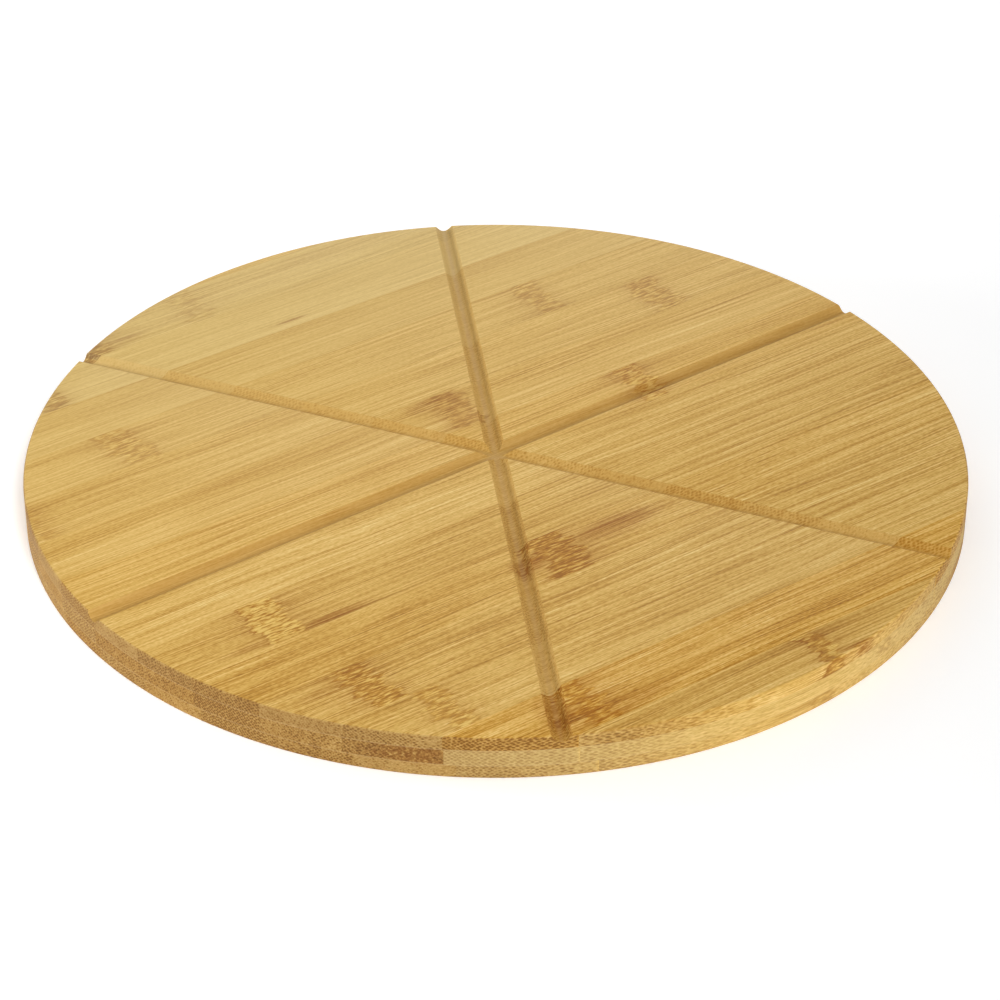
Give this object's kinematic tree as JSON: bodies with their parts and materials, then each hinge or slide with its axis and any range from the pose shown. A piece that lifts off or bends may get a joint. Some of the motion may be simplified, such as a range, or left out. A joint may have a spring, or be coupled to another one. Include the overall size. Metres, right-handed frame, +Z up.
{
  "type": "pizza serving board",
  "caption": "Flat round board laminated from plies of edge-glued bamboo strips, with straight shallow grooves across its face that mark out equal slices and guide the knife.",
  "frame": {"origin": "centre of the underside, on the surface that the board rests on", "axes": "+Z up out of the face; +X along the grain of the strips"},
  "size_m": [0.32, 0.32, 0.0154],
  "materials": {
    "bamboo_face": "sanded and lightly oiled, satin",
    "bamboo_core": "sanded, matt end grain",
    "bamboo_base": "sanded and lightly oiled, satin"
  },
  "bodies": {
    "root": {"face_strip_01": "bamboo_face", "face_strip_02": "bamboo_face", "face_strip_03": "bamboo_face", "face_strip_04": "bamboo_face", "face_strip_05": "bamboo_face", "face_strip_06": "bamboo_face", "face_strip_07": "bamboo_face", "face_strip_08": "bamboo_face", "face_strip_09": "bamboo_face", "face_strip_10": "bamboo_face", "face_strip_11": "bamboo_face", "face_strip_12": "bamboo_face", "face_strip_13": "bamboo_face", "face_strip_14": "bamboo_face", "face_strip_15": "bamboo_face", "core_strip_01": "bamboo_core", "core_strip_02": "bamboo_core", "core_strip_03": "bamboo_core", "core_strip_04": "bamboo_core", "core_strip_05": "bamboo_core", "core_strip_06": "bamboo_core", "core_strip_07": "bamboo_core", "core_strip_08": "bamboo_core", "core_strip_09": "bamboo_core", "core_strip_10": "bamboo_core", "core_strip_11": "bamboo_core", "core_strip_12": "bamboo_core", "core_strip_13": "bamboo_core", "core_strip_14": "bamboo_core", "core_strip_15": "bamboo_core", "base_strip_01": "bamboo_base", "base_strip_02": "bamboo_base", "base_strip_03": "bamboo_base", "base_strip_04": "bamboo_base", "base_strip_05": "bamboo_base", "base_strip_06": "bamboo_base", "base_strip_07": "bamboo_base", "base_strip_08": "bamboo_base", "base_strip_09": "bamboo_base", "base_strip_10": "bamboo_base", "base_strip_11": "bamboo_base", "base_strip_12": "bamboo_base", "base_strip_13": "bamboo_base", "base_strip_14": "bamboo_base", "base_strip_15": "bamboo_base"}
  },
  "joints": []
}
